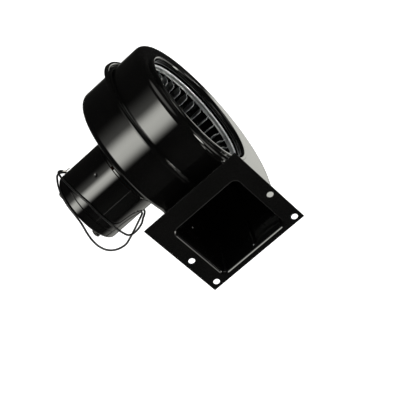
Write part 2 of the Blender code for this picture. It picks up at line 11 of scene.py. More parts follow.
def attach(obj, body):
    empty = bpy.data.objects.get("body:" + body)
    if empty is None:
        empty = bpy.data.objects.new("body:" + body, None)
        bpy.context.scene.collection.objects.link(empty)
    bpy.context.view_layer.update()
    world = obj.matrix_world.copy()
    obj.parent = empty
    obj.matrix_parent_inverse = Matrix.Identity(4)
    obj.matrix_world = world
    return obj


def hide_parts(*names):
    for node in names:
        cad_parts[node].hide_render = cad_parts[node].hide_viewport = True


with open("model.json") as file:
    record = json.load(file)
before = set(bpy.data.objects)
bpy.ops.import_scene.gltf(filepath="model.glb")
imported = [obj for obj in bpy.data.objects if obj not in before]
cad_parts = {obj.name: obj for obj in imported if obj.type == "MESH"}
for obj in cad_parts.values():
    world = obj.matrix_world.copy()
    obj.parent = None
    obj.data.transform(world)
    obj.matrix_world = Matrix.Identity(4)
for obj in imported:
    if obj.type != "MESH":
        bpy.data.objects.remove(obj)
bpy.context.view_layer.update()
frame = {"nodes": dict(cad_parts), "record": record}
NODES = frame["nodes"]
HOUSING = "housing"
ROTOR = "rotor"
MM = 0.001

# ---------------------------------------------------------------- camera, as recovered from the photograph

LENS = 114.70
PLACE = (1.05926, 0.33909, 0.62000)
RIGHT = Vector((0.135909, 0.729194, -0.670675))
UP = Vector((-0.518017, 0.629350, 0.579290))
BACK = Vector((0.844504, 0.268691, 0.463269))

scene = bpy.context.scene
scene.view_settings.view_transform = "Standard"
camera = bpy.data.objects.new("camera", bpy.data.cameras.new("camera"))
scene.collection.objects.link(camera)
scene.camera = camera
camera.data.sensor_width = 36.0
camera.data.lens = LENS
camera.data.clip_start = 0.05
camera.data.clip_end = 50.0
camera.matrix_world = Matrix.Translation(PLACE) @ Matrix((RIGHT, UP, BACK)).transposed().to_4x4()

# ---------------------------------------------------------------- sizes, as the CAD has them, in millimetres

AXIS_X = -100.7
AXIS_Z = 66.7
FRONT_Y = 43.3
REAR_Y = -43.2
SHEET = 1.0
EDGE_RADIUS = 8.0
SCROLL_MIN = 80.0
SCROLL_MAX = 114.2
SPIRAL_START = 40.0
SPIRAL_END = 270.0
SPIRAL_POWER = 1.26
DUCT_TOP = 31.5
DUCT_END = -4.5
TONGUE_RADIUS = 10.0
SEAM_Y = 1.0
SEAM_HEIGHT = 8.3
SEAM_TAPER_START = -52.0
SEAM_TAPER_LENGTH = 18.0
SEAM_END_HEIGHT = 4.6
PLATE_WIDTH = 122.5
PLATE_HEIGHT = 106.0
PLATE_SHEET = 1.2
LIP_ROLL = 4.5
LIP_DEPTH = 9.0
HOLE_RADIUS = 3.55
HOLE_CENTRE_Y = 0.5
HOLE_SPACING_Y = 106.8
HOLE_Z = (-8.5, -46.5)
WHEEL_RADIUS = 66.7
WHEEL_FRONT_Y = 36.6
WHEEL_REAR_Y = -27.0
BLADE_COUNT = 36
BLADE_DEPTH = 11.5
BLADE_TRIM = 2.4  # the shown blades are this much shallower than the solids
MOTOR_RADIUS = 42.0
MOTOR_END_Y = -119.0
BRACKET_END_Y = -57.0
CAP_START_Y = -108.3
BOLT_CIRCLE = 36.5
BOLT_ANGLE = 70.0
BOLT_HOLE_RADIUS = 2.5
LEAD_DIAMETER = 2.4
LEAD_TRIM = 0.12  # the shown leads are this much thinner, to stay clear of what they lie on
LEAD_EXIT_ANGLE = 185.0
POLE_RADIUS = 0.001  # a profile's point with a smaller radius lies on the axis
CREASE_ANGLE = 32.0  # faces that meet at a sharper angle, in degrees, keep their edge


def around(radius, angle):
    return (radius * math.cos(math.radians(angle)), radius * math.sin(math.radians(angle)))


def on_axis(angle, radius, y, centre=(AXIS_X, AXIS_Z)):
    """A point from its angle, radius and y about the shaft axis, or another line along Y, in millimetres."""
    x, z = around(radius, angle)
    return Vector((centre[0] + x, y, centre[1] + z))


# ---------------------------------------------------------------- material helpers


class Graph:
    """A node tree, and the nodes that the finishes and the studio share."""

    def __init__(self, tree):
        self.nodes = tree.nodes
        self.links = tree.links

    def link(self, value, socket):
        """Puts a number, a vector, a colour or another node's output into a socket."""
        if isinstance(value, bpy.types.NodeSocket):
            self.links.new(value, socket)
        elif isinstance(value, tuple) and socket.type == "RGBA":
            socket.default_value = (*value, 1.0)
        else:
            socket.default_value = value

    def add(self, kind, output, inputs, **settings):
        """A new node with its settings and inputs. Gives one of its outputs."""
        node = self.nodes.new(kind)
        for setting, value in settings.items():
            setattr(node, setting, value)
        for socket, value in inputs.items():
            self.link(value, node.inputs[socket])
        return node.outputs[output]

    def math(self, operation, a, b=0.0):
        return self.add("ShaderNodeMath", 0, {0: a, 1: b}, operation=operation)

    def steps(self, value, low, high, to_low=0.0, to_high=1.0):
        """A smooth change from to_low to to_high while the value goes from low to high."""
        inputs = {"Value": value, "From Min": low, "From Max": high, "To Min": to_low, "To Max": to_high}
        return self.add("ShaderNodeMapRange", "Result", inputs, interpolation_type="SMOOTHSTEP")


class Shader(Graph):
    """A Principled material and its textures. Coordinates are the shared frame's, in metres."""

    def __init__(self, name, roughness=0.5, metallic=0.0, **sockets):
        self.material = bpy.data.materials.new(name)
        self.material.use_nodes = True
        super().__init__(self.material.node_tree)
        self.principled = self.nodes["Principled BSDF"]
        self.principled.inputs["Roughness"].default_value = roughness
        self.principled.inputs["Metallic"].default_value = metallic
        for socket, value in sockets.items():
            self.principled.inputs[socket.replace("_", " ")].default_value = value
        self.place = self.nodes.new("ShaderNodeTexCoord").outputs["Object"]
        self.height = None

    def stretched(self, x, y, z, centre=(0.0, 0.0, 0.0)):
        """Coordinates scaled along each axis about a centre."""
        location = (-centre[0] * x, -centre[1] * y, -centre[2] * z)
        inputs = {"Vector": self.place, "Scale": (x, y, z), "Location": location}
        return self.add("ShaderNodeMapping", "Vector", inputs, vector_type="POINT")

    def noise(self, scale, detail=2.0, rough=0.5, at=None, distortion=0.0):
        inputs = {"Vector": at or self.place, "Scale": scale, "Detail": detail, "Roughness": rough,
                  "Distortion": distortion}
        return self.add("ShaderNodeTexNoise", "Fac", inputs)

    def cells(self, scale, output="Distance"):
        return self.add("ShaderNodeTexVoronoi", output, {"Vector": self.place, "Scale": scale})

    def waves(self, scale, distortion, kind="BANDS", profile="SIN", at=None):
        """Bands across Y, or rings about it."""
        inputs = {"Vector": at or self.place, "Scale": scale, "Distortion": distortion, "Detail": 2.0,
                  "Detail Scale": 1.5}
        return self.add("ShaderNodeTexWave", "Fac", inputs, wave_type=kind, wave_profile=profile,
                        bands_direction="Y", rings_direction="Y")

    def colours(self, value, *stops):
        """Two colours, each with its place on the value's scale."""
        node = self.nodes.new("ShaderNodeValToRGB")
        self.links.new(value, node.inputs["Fac"])
        for element, (position, colour) in zip(node.color_ramp.elements, stops):
            element.position = position
            element.color = (*colour, 1.0)
        return node.outputs["Color"]

    def mixed(self, share, a, b):
        """A mix of two colours: sockets 6 and 7 and output 2 are the node's colour ones."""
        return self.add("ShaderNodeMix", 2, {"Factor": share, 6: a, 7: b}, data_type="RGBA")

    def bump(self, height, distance, strength):
        """Lays a height on top of those that are there already."""
        inputs = {"Strength": strength, "Distance": distance, "Height": height}
        if self.height:
            inputs["Normal"] = self.height
        self.height = self.add("ShaderNodeBump", "Normal", inputs)

    def done(self, colour, roughness=None):
        for socket, value in (("Base Color", colour), ("Roughness", roughness), ("Normal", self.height)):
            if value is not None:
                self.link(value, self.principled.inputs[socket])
        return self.material


def enamel(name):
    gloss = 0.022
    s = Shader(name, IOR=1.5)
    broad = s.noise(38.0, 3.0, 0.55)
    base = s.colours(broad, (0.3, (0.0017, 0.0017, 0.0017)), (0.75, (0.0027, 0.0026, 0.0025)))
    dust = s.math("MULTIPLY", s.steps(s.cells(420.0), 0.10, 0.02), s.steps(s.noise(130.0, 1.0), 0.60, 0.72))
    colour = s.mixed(s.math("MULTIPLY", dust, 0.25), base, (0.10, 0.095, 0.088))
    smears = s.noise(9.0, 4.0, 0.6, at=s.stretched(1.0, 2.6, 1.0))
    rough = s.math("ADD", s.steps(smears, 0.35, 0.75, gloss, gloss + 0.035), s.math("MULTIPLY", dust, 0.3))
    s.bump(s.noise(620.0, 2.0, 0.5), 0.00002, 0.35)
    s.bump(s.noise(34.0, 2.0, 0.45), 0.0006, 0.035)
    return s.done(colour, rough)


def galvanised(name, metal=1.0, bright=1.0):
    s = Shader(name, metallic=metal)
    spangle = s.cells(210.0, "Color")
    fine = s.noise(900.0, 3.0, 0.6)
    cloudy = s.noise(46.0, 3.0)
    mix = s.math("ADD", s.math("MULTIPLY", spangle, 0.45), s.math("MULTIPLY", cloudy, 0.55))
    # a bright above 1 makes a lit copy of the zinc, lighter than the metal itself: painted highlight
    dark = tuple(bright * part for part in (0.42, 0.435, 0.44))
    light = tuple(bright * part for part in (0.62, 0.63, 0.62))
    rough = s.math("ADD", s.steps(mix, 0.2, 0.8, 0.22, 0.36), s.math("MULTIPLY", fine, 0.08))
    s.bump(fine, 0.00002, 0.5)
    s.bump(spangle, 0.00001, 0.15)
    return s.done(s.colours(mix, (0.25, dark), (0.8, light)), rough)


def plated(name, tint=(0.60, 0.60, 0.59), dull=(0.40, 0.40, 0.385), rough=0.24, turned=True):
    s = Shader(name, metallic=1.0)
    grain = s.stretched(0.3, 6.0, 0.3) if turned else s.stretched(1.0, 1.0, 6.0)
    lines = s.noise(420.0, 3.0, 0.6, at=grain)
    stain = s.noise(120.0, 3.0)
    colour = s.mixed(s.steps(stain, 0.42, 0.75, 0.0, 0.8), tint, dull)
    s.bump(lines, 0.000015, 0.5)
    return s.done(colour, s.steps(lines, 0.3, 0.7, rough, rough + 0.12))


def laminated(name):
    s = Shader(name, metallic=1.0)
    sheets = s.waves(210.0, 0.15, profile="SAW")
    patch = s.noise(85.0, 4.0)
    steel = s.colours(sheets, (0.1, (0.05, 0.05, 0.055)), (0.6, (0.20, 0.20, 0.21)))
    colour = s.mixed(patch, steel, (0.16, 0.12, 0.10))
    s.bump(sheets, 0.00012, 0.7)
    return s.done(colour, s.steps(patch, 0.3, 0.7, 0.42, 0.6))


def winding(name):
    s = Shader(name, metallic=0.75, Coat_Weight=0.6, Coat_Roughness=0.12)
    wires = s.waves(330.0, 1.2, "RINGS", at=s.stretched(1.0, 1.0, 1.0, (AXIS_X * MM, 0.0, AXIS_Z * MM)))
    lay = s.noise(240.0, 3.0)
    shade = s.math("ADD", s.math("MULTIPLY", wires, 0.6), s.math("MULTIPLY", lay, 0.4))
    colour = s.colours(shade, (0.2, (0.10, 0.028, 0.010)), (0.7, (0.50, 0.19, 0.07)))
    s.bump(shade, 0.0003, 0.8)
    return s.done(colour, s.steps(lay, 0.3, 0.7, 0.28, 0.42))


def cast_metal(name, light, dark, rough, grain=520.0):
    s = Shader(name, metallic=1.0)
    grains = s.noise(grain, 4.0, 0.65)
    pores = s.steps(s.cells(grain * 1.2), 0.22, 0.08)
    colour = s.mixed(s.math("MULTIPLY", pores, 0.7), s.colours(grains, (0.3, dark), (0.75, light)), dark)
    s.bump(grains, 0.00005, 0.6)
    s.bump(s.math("MULTIPLY", pores, -1.0), 0.00005, 0.5)
    return s.done(colour, s.steps(grains, 0.3, 0.7, rough, rough + 0.15))


def felt(name):
    s = Shader(name, Sheen_Weight=0.35, Sheen_Roughness=0.5)
    fibres = s.noise(1500.0, 5.0, 0.7, distortion=1.2)
    oil = s.noise(260.0, 2.0)
    wool = s.colours(fibres, (0.3, (0.16, 0.12, 0.07)), (0.7, (0.40, 0.33, 0.22)))
    colour = s.mixed(s.steps(oil, 0.45, 0.65), wool, (0.12, 0.085, 0.045))
    s.bump(fibres, 0.0003, 0.8)
    return s.done(colour, s.steps(oil, 0.4, 0.7, 0.95, 0.6))


def plastic(name, light, dark, rough, grain=700.0, depth=0.00002):
    s = Shader(name)
    grains = s.noise(grain, 3.0, 0.6)
    cloud = s.noise(70.0, 3.0)
    s.bump(grains, depth, 0.5)
    return s.done(s.mixed(cloud, light, dark), s.steps(grains, 0.3, 0.7, rough, rough + 0.14))


def grey(level):
    return (level, level, level)


MATERIALS = {
    "black_enamel": enamel("black_enamel_finish"),
    "galvanised_steel": galvanised("galvanised_finish"),
    "bright_steel": plated("bright_steel_finish"),
    "lamination_steel": laminated("lamination_finish"),
    "copper_winding": winding("winding_finish"),
    "cast_aluminium": cast_metal("cast_aluminium_finish", (0.62, 0.63, 0.64), (0.40, 0.41, 0.42), 0.36),
    "sintered_bronze": cast_metal("sintered_bronze_finish", (0.46, 0.31, 0.14), (0.20, 0.12, 0.05), 0.42,
                                  900.0),
    "oiled_felt": felt("felt_finish"),
    "thrust_plastic": plastic("thrust_plastic_finish", (0.74, 0.71, 0.60), (0.62, 0.58, 0.46), 0.38),
    "rubber_bushing": plastic("rubber_finish", grey(0.022), grey(0.012), 0.6, 1100.0, 0.00006),
    "lead_insulation": plastic("insulation_finish", grey(0.010), grey(0.006), 0.26, 500.0, 0.00003),
    "tinned_copper": plated("tinned_copper_finish", (0.70, 0.69, 0.66), (0.55, 0.48, 0.38), 0.30, False),
}
blackened = plated("blackened_finish", (0.045, 0.044, 0.042), (0.09, 0.085, 0.08), 0.34)
plain_screw = plated("screw_finish", (0.50, 0.49, 0.46), (0.26, 0.25, 0.23), 0.30)
# the wheel's rim bead: the zinc brightened almost twice, a painted highlight on the bead
painted_highlight_rim = galvanised("painted_highlight_rim_material", 0.4, 1.95)
# the wheel's front band: the zinc brightened a little, a painted highlight on the rolled band
rolled_band_painted_highlight = galvanised("rolled_band_painted_highlight_material", 0.85, 1.15)
# blade edges and weld buttons: zinc a little brighter, partly bare metal and partly a painted glint
sheared_edge_and_painted_glint = galvanised("sheared_edge_and_painted_glint_material", 0.35, 1.2)

# ---------------------------------------------------------------- mesh helpers


def piece(name, data, material, body, replaces=()):
    """A new shown piece, finished, riding on a body and standing for CAD nodes."""
    if isinstance(data, bmesh.types.BMesh):
        mesh = bpy.data.meshes.new(name)
        data.to_mesh(mesh)
        creases = [edge.index for edge in mesh.edges if edge.use_edge_sharp]
        data.free()
        mesh.shade_smooth()
        mesh.set_sharp_from_angle(angle=math.radians(CREASE_ANGLE))
        for index in creases:
            mesh.edges[index].use_edge_sharp = True
        data = mesh
    obj = bpy.data.objects.new(name, data)
    scene.collection.objects.link(obj)
    data.materials.append(MATERIALS[material] if isinstance(material, str) else material)
    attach(obj, body)
    if replaces:
        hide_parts(*replaces)
    return obj


def loose(name, bm):
    """A plain object of a bmesh: the floor, or a cutter."""
    mesh = bpy.data.meshes.new(name)
    bm.to_mesh(mesh)
    bm.free()
    obj = bpy.data.objects.new(name, mesh)
    scene.collection.objects.link(obj)
    return obj


def move(bm, turn, place):
    """Turns a whole bmesh by a matrix, then moves it to a place in millimetres."""
    bmesh.ops.rotate(bm, verts=bm.verts, cent=(0, 0, 0), matrix=turn)
    bmesh.ops.translate(bm, verts=bm.verts, vec=place * MM)


def facing(direction):
    return direction.to_track_quat("Z", "Y").to_matrix()


def sheet_metal(obj, thickness, edge=0.0, offset=-1.0):
    """Gives a surface the thickness of its sheet, with rounded edges if a width is given."""
    solidify = obj.modifiers.new("sheet", "SOLIDIFY")
    solidify.thickness = thickness * MM
    solidify.offset = offset
    if edge:
        bevel = obj.modifiers.new("edge", "BEVEL")
        bevel.width = edge * MM
        bevel.segments = 2
        bevel.limit_method = "ANGLE"
        bevel.angle_limit = math.radians(50.0)
        bevel.harden_normals = True
    return solidify


def arc(centre, radius, start, end, steps):
    """(radius, y) points of an arc in a turned profile, angles from the +radius direction towards +y."""
    points = []
    for i in range(steps + 1):
        a = math.radians(start + (end - start) * i / steps)
        points.append((centre[0] + radius * math.cos(a), centre[1] + radius * math.sin(a)))
    return points


def softened(profile, radius, steps=4):
    """A closed profile with every corner rounded, by at most a third of its shorter side."""
    out = []
    count = len(profile)
    for i, corner in enumerate(profile):
        here = Vector(corner)
        before = Vector(profile[i - 1]) - here
        after = Vector(profile[(i + 1) % count]) - here
        if corner[0] < POLE_RADIUS:
            out.append(tuple(corner))
            continue
        size = min(radius, before.length / 3, after.length / 3)
        a = here + before.normalized() * size
        b = here + after.normalized() * size
        for k in range(steps + 1):
            t = k / steps
            point = a * (1 - t) ** 2 + here * 2 * t * (1 - t) + b * t**2
            out.append((point.x, point.y))
    return out


def turned_rings(bm, profile, segments, place=on_axis):
    """A ring of vertices for each (radius, level) of a profile, laid out by place(angle, radius, level)."""
    rings = []
    for radius, level in profile:
        count = 1 if radius < POLE_RADIUS else segments
        rings.append([bm.verts.new(place(360.0 * i / segments, radius, level) * MM) for i in range(count)])
    return rings


def skin(bm, rings):
    """Faces from each ring of vertices to the next. A ring of one vertex is a point on the axis."""
    for low, high in zip(rings, rings[1:]):
        count = max(len(low), len(high))
        if count == 1:
            continue
        for i in range(count):
            j = (i + 1) % count
            corners = [low[i % len(low)], low[j % len(low)], high[j % len(high)], high[i % len(high)]]
            bm.faces.new([v for k, v in enumerate(corners) if v not in corners[:k]])


def turned(name, profile, material, body, replaces=(), segments=96, soften=0.0, slot_name=None):
    """A shown piece: a closed profile of (radius, y) in millimetres turned about the shaft axis."""
    if soften:
        profile = softened(profile, soften)
    area = sum(a[0] * b[1] - b[0] * a[1] for a, b in zip(profile, profile[1:] + profile[:1]))
    if area < 0:
        profile = profile[::-1]
    bm = bmesh.new()
    rings = turned_rings(bm, profile, segments)
    skin(bm, rings + rings[:1])
    bmesh.ops.recalc_face_normals(bm, faces=bm.faces)
    return piece(name, bm, material, body, replaces)


def cut(obj, *cutters):
    """Subtracts meshes for good, and removes them."""
    for cutter in cutters:
        boolean = obj.modifiers.new("cut", "BOOLEAN")
        boolean.operation = "DIFFERENCE"
        boolean.solver = "EXACT"
        boolean.object = cutter
    bpy.context.view_layer.update()
    graph = bpy.context.evaluated_depsgraph_get()
    mesh = bpy.data.meshes.new_from_object(obj.evaluated_get(graph))
    material = obj.data.materials[0]
    obj.modifiers.clear()
    obj.data = mesh
    mesh.materials.clear()
    mesh.materials.append(material)
    mesh.shade_smooth()
    mesh.set_sharp_from_angle(angle=math.radians(CREASE_ANGLE))
    for cutter in cutters:
        bpy.data.objects.remove(cutter)
    return obj


def rod_cutter(radius, start, end):
    """A round bar between two points, in millimetres."""
    bm = bmesh.new()
    along = Vector(end) - Vector(start)
    bmesh.ops.create_cone(bm, cap_ends=True, segments=32, radius1=radius * MM, radius2=radius * MM,
                          depth=along.length * MM)
    move(bm, facing(along), (Vector(start) + Vector(end)) / 2)
    return loose("cutter", bm)


# ---------------------------------------------------------------- leads


def smooth_route(points, count):
    """A smooth line through points, given back as evenly spaced points, and its length."""
    dense = []
    padded = [points[0] * 2 - points[1], *points, points[-1] * 2 - points[-2]]
    for i in range(1, len(padded) - 2):
        a, b, c, d = padded[i - 1 : i + 3]
        for step in range(24):
            t = step / 24
            bend = (2 * a - 5 * b + 4 * c - d) * t**2 + (3 * b - a - 3 * c + d) * t**3
            dense.append(0.5 * (2 * b + (c - a) * t + bend))
    dense.append(points[-1])
    lengths = [0.0]
    for a, b in zip(dense, dense[1:]):
        lengths.append(lengths[-1] + (b - a).length)
    route = []
    place = 0
    for i in range(count):
        target = lengths[-1] * i / (count - 1)
        while place < len(lengths) - 2 and lengths[place + 1] < target:
            place += 1
        share = (target - lengths[place]) / (lengths[place + 1] - lengths[place])
        route.append(dense[place].lerp(dense[place + 1], min(1.0, share)))
    return route, lengths[-1]


# points of (angle, radius, y) about the shaft axis
LEAD_ROUTES = {
    "lead_1": [
        (185, 47.5, -88), (187.5, 51, -88), (196, 52.2, -88), (208, 50, -87.9), (222, 47.6, -87.2),
        (238, 46, -86.2), (256, 44.8, -84.4), (273, 44, -81.8), (287, 43.8, -79.2),
        (298, 44.3, -78.1), (300.5, 47.5, -85.1), (301.5, 51, -93.3), (301.5, 54.5, -102.8),
        (301, 57, -112.9), (306, 55, -122.5), (318, 51.5, -126.9), (332, 48.5, -127.5),
        (346, 46.3, -126), (0, 45, -123.1), (14, 44.2, -119.8), (28, 43.8, -118.6),
        (45, 43.6, -118.6), (65, 43.6, -118.4), (85, 43.6, -118.3), (100, 44.2, -118.7),
        (109, 45.4, -119.2), (116, 46.6, -119), (124, 46.8, -117.8), (134, 45.8, -116),
        (145, 44.6, -114.6), (155, 43.9, -113.9),
    ],
    "lead_2": [
        (185, 47.5, -84), (188, 50.5, -84), (198, 50.8, -84), (210, 49, -84), (224, 47.2, -83.4),
        (239, 46, -82.2), (256, 45.4, -80.6), (272, 44.8, -78.4), (286, 44.7, -76.2),
        (298, 45.9, -75.6), (303, 48.2, -78.1), (306, 51.8, -82.2), (308.5, 54.3, -89.5),
        (310.5, 54.5, -96), (313.5, 53, -99.6), (320, 50, -100.4), (329, 47, -100.4),
        (341, 44.7, -100.1), (355, 43.8, -99.3), (10, 43.6, -99.2), (28, 43.6, -99.4),
        (46, 43.6, -101.9), (62, 43.6, -105.2), (77, 43.7, -108.3), (90, 43.9, -111.6),
        (100, 44.9, -113.6), (108, 46.9, -115.2), (113.5, 48.2, -115.4), (117.5, 47.6, -114),
        (118.5, 45.8, -112.6),
    ],
}
BARE_ENDS = {
    "lead_1": [(155.8, 43.9, -113.8), (161, 43.6, -113.6), (166, 43.6, -113.5)],
    "lead_2": [(118.4, 45.1, -112.1), (117.6, 43.7, -109.2), (117, 43.4, -104.6)],
}


def tube(name, radius, resolution, lines):
    """A curve with a round section along one or more lines of points, in millimetres."""
    curve = bpy.data.curves.new(name, "CURVE")
    curve.dimensions = "3D"
    curve.bevel_depth = radius * MM
    curve.bevel_resolution = resolution
    curve.use_fill_caps = True
    for line in lines:
        spline = curve.splines.new("POLY")
        spline.points.add(len(line) - 1)
        for at, point in zip(spline.points, line):
            at.co = (*(point * MM), 1.0)
    return curve


def stranded_end(name, points):
    """Seven tinned strands, laid round each other, that fray a little at the tip."""
    strands, strand_radius, lay, fray = 7, 0.21, 0.40, 0.12
    route, _ = smooth_route(points, 22)
    lines = [[] for _ in range(strands)]
    for i, here in enumerate(route):
        ahead = route[min(i + 1, len(route) - 1)] - route[max(i - 1, 0)]
        side = ahead.cross(Vector((0.3, 0.2, 1.0))).normalized()
        other = ahead.cross(side).normalized()
        share = i / (len(route) - 1)
        for strand, line in enumerate(lines):
            spread = 0.0 if strand == strands - 1 else lay + fray * max(0.0, share - 0.7) / 0.3
            angle = math.radians(60.0 * strand + 200.0 * share)
            line.append(here + side * spread * math.cos(angle) + other * spread * math.sin(angle))
    return tube(name, strand_radius, 3, lines)


def strain_relief(exit_y):
    """The rubber collar round a lead where it leaves the can."""
    profile = [(0.0, 0.0), (2.55, 0.0), (2.55, 0.9), (1.95, 1.3), (1.85, 2.2), (1.95, 2.35), (1.75, 2.5),
               (1.65, 3.6), (1.3, 3.95), (0.0, 3.95)]
    bm = bmesh.new()
    upright = turned_rings(bm, softened(profile, 0.25, 3), 32,
                           lambda angle, radius, height: Vector((*around(radius, angle), height)))
    skin(bm, upright)
    bmesh.ops.recalc_face_normals(bm, faces=bm.faces)
    x, z = around(1.0, LEAD_EXIT_ANGLE)
    move(bm, facing(Vector((x, 0.0, z))), on_axis(LEAD_EXIT_ANGLE, MOTOR_RADIUS + 0.35, exit_y))
    return bm


for name, route in LEAD_ROUTES.items():
    points, length = smooth_route([on_axis(*p) for p in route], 220)
    lead = piece(f"{name}_insulation", tube(name, (LEAD_DIAMETER - LEAD_TRIM) / 2, 6, [points]),
                 "lead_insulation", HOUSING, replaces=[name])
    end_points = [on_axis(*p) for p in BARE_ENDS[name]]
    end_points[0] = points[-1] - (points[-1] - points[-2]).normalized() * 0.6
    end = piece(f"{name}_strands", stranded_end(name, end_points), "tinned_copper", HOUSING,
                replaces=[f"{name}_bare_end"])
    exit_y = route[0][2]
    piece(f"{name}_strain_relief", strain_relief(exit_y), "rubber_bushing", HOUSING,
          replaces=[f"{name}_bushing"])

# ---------------------------------------------------------------- housing shells


def scroll_radius(angle):
    grown = max(0.0, (angle - SPIRAL_START) / (SPIRAL_END - SPIRAL_START))
    return SCROLL_MIN + (SCROLL_MAX - SCROLL_MIN) * grown**SPIRAL_POWER


def scroll_point(angle):
    x, z = around(scroll_radius(angle), angle)
    return Vector((AXIS_X + x, AXIS_Z + z))


def scroll_normal(angle):
    along = (scroll_point(angle + 0.01) - scroll_point(angle - 0.01)).normalized()
    return Vector((along.y, -along.x))


def lowest_scroll_angle():
    low, high = SPIRAL_END - 20.0, SPIRAL_END + 20.0
    while high - low > 0.001:
        middle = (low + high) / 2
        if scroll_normal(middle).x < 0:
            low = middle
        else:
            high = middle
    return low


def housing_path(step):
    """(point, outward normal) pairs in X and Z: the duct's top, the tongue, the scroll, the duct's floor."""
    fillet_z = DUCT_TOP + TONGUE_RADIUS
    reach = SCROLL_MIN + TONGUE_RADIUS
    fillet_x = AXIS_X + math.sqrt(reach**2 - (fillet_z - AXIS_Z) ** 2)
    centre = Vector((fillet_x, fillet_z))
    inward = Vector((AXIS_X, AXIS_Z)) - centre
    last = math.degrees(math.atan2(inward.y, inward.x))
    path = [(Vector((DUCT_END, DUCT_TOP)), Vector((0.0, 1.0)))]
    for i in range(19):
        angle = math.radians(270.0 + (last - 270.0) * i / 18)
        outward = Vector((math.cos(angle), math.sin(angle)))
        path.append((centre + outward * TONGUE_RADIUS, -outward))
    tongue = last - 180.0
    end = lowest_scroll_angle()
    count = round((end - tongue) / step)
    for i in range(1, count + 1):
        angle = tongue + (end - tongue) * i / count
        path.append((scroll_point(angle), scroll_normal(angle)))
    x, floor = path[-1][0]
    for i in range(1, 25):
        x += (DUCT_END - x) * i / 24
        path.append((Vector((x, floor)), Vector((0.0, -1.0))))
    return path


PATH = housing_path(2.4)
FLOOR_Z = PATH[-1][0].y


def seam_share():
    """1 all round the scroll, falling to 0 on the duct's floor, where the seam is dressed down."""
    shares = []
    for point, normal in PATH:
        share = 1.0
        if normal.y < -0.99:
            t = min(1.0, max(0.0, (point.x - SEAM_TAPER_START) / SEAM_TAPER_LENGTH))
            share = 1.0 - t * t * (3 - 2 * t)
        shares.append(share)
    return shares


SHARES = seam_share()


def flared(offset):
    """An offset on the seam, lowered where the seam is lower."""
    drop = (SEAM_HEIGHT - SEAM_END_HEIGHT) * min(1.0, offset / 4.0)
    return [offset - drop * (1 - share) for share in SHARES]


def loop_edges(bm, loop):
    """The edges round a closed loop of vertices, made where they don't exist yet."""
    return [bm.edges.get(pair) or bm.edges.new(pair) for pair in zip(loop, loop[1:] + loop[:1])]


def fill_face(bm, edges, axis, side=1):
    """Fills a flat face between loops of edges, keeps its rim crisp, and turns it to a side of the axis."""
    bmesh.ops.triangle_fill(bm, edges=edges, use_beauty=True, normal=axis)
    for edge in edges:
        edge.smooth = False
    bmesh.ops.recalc_face_normals(bm, faces=bm.faces)
    bm.normal_update()
    face = max(bm.faces, key=lambda f: f.calc_area() if abs(f.normal.dot(axis)) > 0.9 else 0.0)
    if face.normal.dot(axis) * side < 0:
        bmesh.ops.reverse_faces(bm, faces=bm.faces)


def shell_mesh(rows, face_y, hole_rows, segments):
    """A pressed half: rows of (offset, y) drawn along the path, and a face with a turned hole."""
    bm = bmesh.new()
    rings = []
    for offset, y in rows:
        offsets = flared(offset) if offset > 0 else [offset] * len(PATH)
        ring = []
        for (point, normal), out in zip(PATH, offsets):
            place = point + normal * out
            ring.append(bm.verts.new((place.x * MM, y * MM, place.y * MM)))
        rings.append(ring)
    for lower, upper in zip(rings, rings[1:]):
        for i in range(len(PATH) - 1):
            bm.faces.new((lower[i], lower[i + 1], upper[i + 1], upper[i]))
    circles = turned_rings(bm, hole_rows, segments)
    skin(bm, circles)
    edges = loop_edges(bm, rings[-1]) + loop_edges(bm, circles[0])
    fill_face(bm, edges, Vector((0, 1, 0)), 1 if face_y > 0 else -1)
    return bm


def edge_rounding(face_y):
    """Rows of (offset, y) from a shell's wall round on to its face."""
    steps = 9
    side = 1 if face_y > 0 else -1
    rounding = []
    for i in range(steps + 1):
        a = math.radians(90.0 * i / steps)
        rounding.append((-EDGE_RADIUS * (1 - math.cos(a)), face_y - side * EDGE_RADIUS * (1 - math.sin(a))))
    rounding.append((-EDGE_RADIUS - 0.08, face_y))
    return rounding


h = SEAM_HEIGHT
front_flange = SEAM_Y + 2 * SHEET + 0.35
front_rows = [(h - 1.4, front_flange), (2.2, front_flange), (1.2, front_flange + 0.12),
              (0.5, front_flange + 0.55), (0.1, front_flange + 1.2), (0.0, front_flange + 2.0), (0.0, 12.0),
              (0.0, 24.0)]
front_rows += edge_rounding(FRONT_Y)
lip = [(71.75, 43.3), (71.5, 43.36), (71.34, 43.7), (71.22, 44.4), (71.12, 45.3), (70.97, 45.9),
       (70.7, 46.22), (70.3, 46.36), (69.8, 46.39), (69.2, 46.4), (68.6, 46.4), (68.0, 46.39), (67.6, 46.33),
       (67.2, 46.12), (66.85, 45.65), (66.5, 44.9), (66.2, 43.9), (66.0, 42.4), (65.87, 40.8), (65.8, 39.4)]
inlet_shell = piece("inlet_shell_pressing", shell_mesh(front_rows, FRONT_Y, lip, 160), "black_enamel",
                    HOUSING, replaces=["inlet_shell"])
sheet_metal(inlet_shell, SHEET)

top = SEAM_Y + 3 * SHEET + 0.7
rear_rows = [(h - 4.2, top), (h - 2.6, top)]
rear_rows += arc((h - 1.15, top - 0.5), 0.5, 90.0, 12.0, 4)
rear_rows += arc((h - 0.5, SEAM_Y + 0.5), 0.5, 12.0, -90.0, 5)
rear_rows += [(2.2, SEAM_Y), (1.2, SEAM_Y - 0.12), (0.5, SEAM_Y - 0.55), (0.1, SEAM_Y - 1.2),
              (0.0, SEAM_Y - 2.0), (0.0, -12.0), (0.0, -24.0)]
rear_rows += edge_rounding(REAR_Y)
rear_hole = [(19.0, REAR_Y), (16.6, REAR_Y), (16.1, REAR_Y + 0.1), (16.0, REAR_Y + 0.4)]
rear_shell = piece("motor_side_shell_pressing", shell_mesh(rear_rows, REAR_Y, rear_hole, 96), "black_enamel",
                   HOUSING, replaces=["motor_side_shell"])
sheet_metal(rear_shell, SHEET)

# ---------------------------------------------------------------- discharge flange


